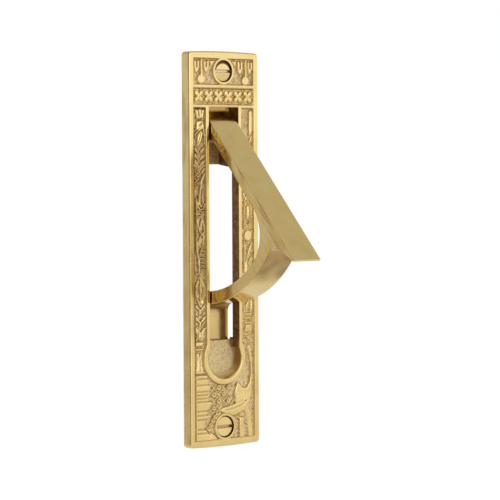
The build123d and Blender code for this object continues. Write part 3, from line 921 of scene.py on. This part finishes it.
# %% Tools for closed slabs


def grid_quads(keep):
    """The four corners of each cell of a grid, where all four are kept."""
    index = np.arange(keep.size).reshape(keep.shape)
    low, high = slice(None, -1), slice(1, None)
    corners = ((low, low), (low, high), (high, high), (high, low))
    whole = np.all([keep[corner] for corner in corners], axis=0)
    return np.stack([index[corner][whole] for corner in corners], 1)


def closed_slab(front, quads, depth):
    """Closes a sheet of quads with a flat back and with walls along its open edges."""
    count = len(front)
    start, end = quads.ravel(), np.roll(quads, -1, 1).ravel()
    alone = ~np.isin(start * count + end, end * count + start)
    u, v = start[alone], end[alone]
    wall = np.stack([v, u, u + count, v + count], 1)
    faces = np.concatenate([quads, quads[:, ::-1] + count, wall])
    back = front.copy()
    back[:, 1] = depth
    used, faces = np.unique(faces, return_inverse=True)
    return np.concatenate([front, back])[used], faces.reshape(-1, 4), used


def mesh_with_tarnish_and_shade(name, points_mm, faces, darkness):
    mesh = bpy.data.meshes.new(name)
    mesh.from_pydata((points_mm * MM).tolist(), [], faces.tolist())
    values = darkness.astype(np.float32)
    mesh.attributes.new("tarnish_and_shade", "FLOAT", "POINT").data.foreach_set("value", values)
    return mesh


print("slab tools ready")

# %% Where the slabs stop
SLAB_BOTTOM_MM = 1.1
NOTCH_HOLE = 7.9
SCREW_HOLE = 3.9
SLOT_HOLE_HALF_WIDTH = 7.2
SLOT_HOLE_TOP = 46.2
kept = np.hypot(plan_x, plan_z - NOTCH_Z) > NOTCH_HOLE
kept &= np.hypot(plan_x, np.abs(plan_z) - SCREW_Z) > SCREW_HOLE
kept &= ~((np.abs(plan_x) < SLOT_HOLE_HALF_WIDTH) & (plan_z > NOTCH_Z) & (plan_z < SLOT_HOLE_TOP))


def carved_slab(name, low_x, high_x, low_z, high_z, material):
    columns = slice(*np.searchsorted(grid_x, (low_x, high_x + PITCH)))
    rows = slice(*np.searchsorted(grid_z, (low_z, high_z + PITCH)))
    x, z, top, keep, dark = [grid[rows, columns] for grid in (plan_x, plan_z, height, kept, tarnish_and_shade)]
    front = np.stack([x, FRONT_MM - top, z], -1).reshape(-1, 3)
    points, faces, used = closed_slab(front, grid_quads(keep), FRONT_MM + SLAB_BOTTOM_MM)
    mesh = mesh_with_tarnish_and_shade(name, points, faces, np.tile(dark.ravel(), 2)[used])
    mesh.polygons.foreach_set("use_smooth", np.ones(len(mesh.polygons), bool))
    mesh.materials.append(material)
    slab = put_in_scene(name, mesh)
    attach(slab, "plate")
    print(f"{name}: {len(mesh.polygons)} faces")


print(f"{kept.mean():.0%} of the grid is metal")

# %% [markdown]
# The same brass covers the carving. The wheel brightened its high places and the ground stayed sandy, so
# depth below the plate's face drives the finish. The stored tarnish and painted shade are its dark mask.

# %% Carving material and slabs
CARVING_ROUGHNESS = 0.22
CARVING_TARNISH_AND_SHADE = linear("#80603A")


def make_carved_brass():
    material, place = brass_tree("carved_cast_brass")
    deep = zone((parts_of(place)["Y"], FRONT_MM + 0.30, FRONT_MM + GROUND_MM))
    # The stored attribute lays tarnish and painted shade.
    stored = add_node(place.id_data, "ShaderNodeAttribute", {"attribute_name": "tarnish_and_shade"})
    shade = math_node("MULTIPLY", stored.outputs["Fac"], 0.78)
    finish_brass(place, deep, shade, CARVING_ROUGHNESS, dark_coat=CARVING_TARNISH_AND_SHADE)
    return material


carved_brass = make_carved_brass()
LEFT, INNER, RIGHT = -12.48, 7.2, 12.48
for name, place in {
    "carved_top_panel": (LEFT, RIGHT, 52.5, 61.4),
    "carved_flower_band": (LEFT, RIGHT, 46.2, 51.9),
    "carved_left_field": (LEFT, -INNER, -34.92, 45.6),
    "carved_right_field": (INNER, RIGHT, -34.92, 45.6),
    "carved_lower_field": (LEFT, RIGHT, -61.4, -34.92),
}.items():
    carved_slab(name, *place, carved_brass)

# %% [markdown]
# ## Flowers in a row
# Six cross-shaped flowers fill the band. A pattern maker would cut one and repeat it, and Geometry Nodes do
# the same: four petals make a flower, and copies of the flower stand on the points of a line. The petal is
# modelled in code as a crowned leaf with a fold down its middle, because no primitive has that shape.

# %% A petal
PETAL_STEPS = np.arange(10) / 9
PETAL_SPREAD = (-1.0, -0.7, -0.35, 0.0, 0.35, 0.7, 1.0)


def petal_mesh(length, half, crown, bottom, overlap):
    """A closed crowned petal along +X, its underside flat. Sizes in millimetres."""
    t, s = np.meshgrid(PETAL_STEPS, PETAL_SPREAD)
    width = half * (0.22 + 0.78 * np.sin(math.pi * np.minimum(t * 0.68, 0.5)))
    width *= np.sqrt(np.maximum(1 - t ** 7, 0.02))
    rise = crown * (1 - np.abs(s) ** 5) * (1 - 0.35 * t ** 10) * (1 - 0.12 * np.exp(-(s / 0.18) ** 2))
    front = np.stack([length * t - overlap * (1 - t), -rise, width * s], -1).reshape(-1, 3)
    points, faces, _ = closed_slab(front, grid_quads(np.ones(t.shape, bool)), bottom)
    # The low edges of each petal, where it meets the ground, get painted shade.
    return mesh_with_tarnish_and_shade("petal", points, faces, 0.35 * (points[:, 1] > -0.3 * crown))


def hidden_shape(name, mesh):
    """An object that only a tree uses. It is not linked into the scene, so it is no piece of the pull."""
    return bpy.data.objects.new(name, mesh)


petal = hidden_shape("petal", petal_mesh(length=2.15, half=0.92, crown=0.68, bottom=0.25, overlap=0.15))
print("petal:", len(petal.data.polygons), "faces")

# %% [markdown]
# Each tree has named inputs and ends by making its copies real and giving them a material. It runs once, on
# an empty host, and only the plain mesh stays.

# %% Run a node tree


def new_tree(name, sockets):
    """An empty Geometry Nodes tree with its named inputs."""
    tree = bpy.data.node_groups.new(name, "GeometryNodeTree")
    tree.interface.new_socket(name="Geometry", in_out="OUTPUT", socket_type="NodeSocketGeometry")
    for label, kind in sockets.items():
        tree.interface.new_socket(name=label, in_out="INPUT", socket_type=kind)
    return tree, tree.nodes.new("NodeGroupInput").outputs


def finish_tree(geometry, material):
    solid = join("GeometryNodeRealizeInstances", {}, {0: geometry})
    painted = join("GeometryNodeSetMaterial", {}, {"Geometry": solid, "Material": material})
    add_node(geometry.id_data, "NodeGroupOutput", inputs={0: painted})


def grow(name, tree, values, body):
    """Run a tree once and keep its result as a plain mesh that rides on a body."""
    host = put_in_scene(name + "_host", bpy.data.meshes.new(name + "_host"))
    modifier = host.modifiers.new("grow", "NODES")
    modifier.node_group = tree
    sockets = {item.name: item.identifier for item in tree.interface.items_tree if item.in_out == "INPUT"}
    for label, value in values.items():
        modifier[sockets[label]] = value
    evaluated = host.evaluated_get(bpy.context.evaluated_depsgraph_get())
    mesh = bpy.data.meshes.new_from_object(evaluated)
    bpy.data.objects.remove(host)
    mesh.name = name
    mesh.polygons.foreach_set("use_smooth", np.ones(len(mesh.polygons), bool))
    piece = put_in_scene(name, mesh)
    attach(piece, body)
    print(f"{name}: {len(mesh.polygons)} faces")


def shape_of(hidden):
    return join("GeometryNodeObjectInfo", {}, {"Object": hidden}, "Geometry")


def instances(points, shape, **more):
    return join("GeometryNodeInstanceOnPoints", {}, {"Points": points, "Instance": shape, **more})


print("grower ready")

# %% [markdown]
# The tree turns four petals about a centre by their index, then puts the finished flower on a line of
# points. Its inputs are the petal, the count, the spacing, the first flower's place and a stretch.

# %% Grow the flower band
tree, given = new_tree("flower_row", {
    "Petal": "NodeSocketObject", "Flowers": "NodeSocketInt", "Spacing": "NodeSocketFloat",
    "First": "NodeSocketVector", "Stretch": "NodeSocketVector",
})
corners = add_node(tree, "GeometryNodeMeshLine", inputs={"Count": 4, "Offset": (0, 0, 0)}).outputs[0]
turn = join("ShaderNodeMath", {"operation": "MULTIPLY_ADD"}, {
    0: add_node(tree, "GeometryNodeInputIndex").outputs[0], 1: math.pi / 2, 2: math.pi / 4,
})
flower = instances(corners, shape_of(given["Petal"]), Rotation=vector_of(y=turn))
line = join("GeometryNodeMeshLine", {}, {
    "Count": given["Flowers"], "Start Location": given["First"], "Offset": vector_of(given["Spacing"]),
})
finish_tree(instances(line, flower, Scale=given["Stretch"]), carved_brass)
grow("carved_flowers", tree, {
    "Petal": petal, "Flowers": 6, "Spacing": 4.0 * MM, "Stretch": (0.98, 1.0, 1.12),
    "First": (-9.95 * MM, (FRONT_MM + 0.76) * MM, 49.05 * MM),
}, "plate")

# %% [markdown]
# ## Diamonds
# Between the post and the bird lies a trellis of small square studs, each with a punched hole, and a chain
# of them runs down round the screw. One stud is modelled in code. The points where studs stand are listed,
# since the real ones keep no strict grid, and the tree varies their size a little by a fixed seed.

# %% Grow the diamonds


def stud_mesh(half, hole, rise, bottom):
    """A square stud standing on its corner, with a sunk square middle. Sizes in millimetres."""
    rings = ((half * 1.12, bottom), (half, -rise * 0.6), (half * 0.84, -rise), (hole * 1.2, -rise),
             (hole * 0.8, -rise * 0.2))
    turns = np.arange(4) * math.pi / 2
    points = np.array([(r * math.cos(a), y, r * math.sin(a)) for r, y in rings for a in turns])
    faces = [(4 * k + j, 4 * k + (j + 1) % 4, 4 * k + 4 + (j + 1) % 4, 4 * k + 4 + j)
             for k in range(len(rings) - 1) for j in range(4)]
    last = len(points) - 4
    faces += [(last, last + 1, last + 2, last + 3), (3, 2, 1, 0)]
    # The sunk middle of each stud gets painted shade, and so does its hidden base.
    return mesh_with_tarnish_and_shade("stud", points, np.array(faces), points[:, 1] > -0.4 * rise)


STUDS = [(-2.4, -44.4), (1.7, -44.4), (-4.45, -46.6), (-0.35, -46.6), (-2.4, -48.8), (1.5, -48.9),
         (-4.45, -51.0), (-1.7, -51.3), (-2.8, -52.5), (-3.8, -53.7), (-4.8, -54.9), (-5.7, -56.2),
         (-6.6, -57.4)]
stud = hidden_shape("stud", stud_mesh(half=1.05, hole=0.5, rise=0.66, bottom=0.3))
tree, given = new_tree("studs", {
    "Stud": "NodeSocketObject", "Places": "NodeSocketObject", "Smallest": "NodeSocketFloat",
    "Largest": "NodeSocketFloat", "Seed": "NodeSocketInt",
})
size = join("FunctionNodeRandomValue", {"data_type": "FLOAT"}, {
    2: given["Smallest"], 3: given["Largest"], "Seed": given["Seed"],
}, 1)
studs = instances(shape_of(given["Places"]), shape_of(given["Stud"]), Scale=size)
finish_tree(studs, carved_brass)
places = bpy.data.meshes.new("stud_places")
places.from_pydata([(x * MM, (FRONT_MM + GROUND_MM) * MM, z * MM) for x, z in STUDS], [], [])
grow("carved_studs", tree, {
    "Stud": stud, "Places": hidden_shape("stud_places", places),
    "Smallest": 0.86, "Largest": 1.06, "Seed": 4,
}, "plate")

# %% [markdown]
# ## Screw threads
# The model's screws have a plain root, and the thread is a ridge wound on it. A spiral curve carries a
# kite-shaped profile, one turn for each 1.4 mm as on a number 6 wood screw, and it narrows towards the
# point, as a gimlet point does.

# %% Grow the threads
THREAD_START = 4.35
THREAD_LENGTH = 11.4
THREAD_PITCH = 1.41
ROOT_RADIUS = 1.22
RIDGE = 0.5
tree, given = new_tree("wood_screw_thread", {
    "Turns": "NodeSocketFloat", "Radius": "NodeSocketFloat", "Length": "NodeSocketFloat",
    "Ridge": "NodeSocketFloat", "Start": "NodeSocketVector",
})
coil = join("GeometryNodeCurveSpiral", {}, {
    "Resolution": 20, "Rotations": given["Turns"], "Start Radius": given["Radius"],
    "End Radius": given["Radius"], "Height": given["Length"],
})
along = add_node(tree, "GeometryNodeSplineParameter").outputs["Factor"]
point = map_range(along, 0.78, 1.0, 1.0, 0.12)
run_in = map_range(along, 0.0, 0.06, 0.2, 1.0)
here = add_node(tree, "GeometryNodeInputPosition").outputs[0]
gimlet = join("GeometryNodeSetPosition", {}, {
    "Geometry": coil, "Position": vector_node("MULTIPLY", here, vector_of(point, point, 1.0)),
})
upright = join("GeometryNodeSetCurveNormal", {"mode": "Z_UP"}, {"Curve": gimlet})
profile = join("GeometryNodeCurvePrimitiveQuadrilateral", {"mode": "KITE"}, {
    "Width": RIDGE * MM, "Bottom Height": given["Ridge"], "Top Height": given["Ridge"],
})
ridge = join("GeometryNodeCurveToMesh", {}, {
    "Curve": upright, "Profile Curve": profile, "Fill Caps": True,
    "Scale": math_node("MULTIPLY", point, run_in),
})
placed = join("GeometryNodeTransform", {}, {
    "Geometry": ridge, "Translation": given["Start"], "Rotation": (-math.pi / 2, 0, 0),
})
finish_tree(placed, screw_brass)
for name, z in (("thread_upper", SCREW_Z), ("thread_lower", -SCREW_Z)):
    grow(name, tree, {
        "Turns": THREAD_LENGTH / THREAD_PITCH, "Radius": ROOT_RADIUS * MM, "Length": THREAD_LENGTH * MM,
        "Ridge": RIDGE * MM, "Start": (0, THREAD_START * MM, z * MM),
    }, "plate")
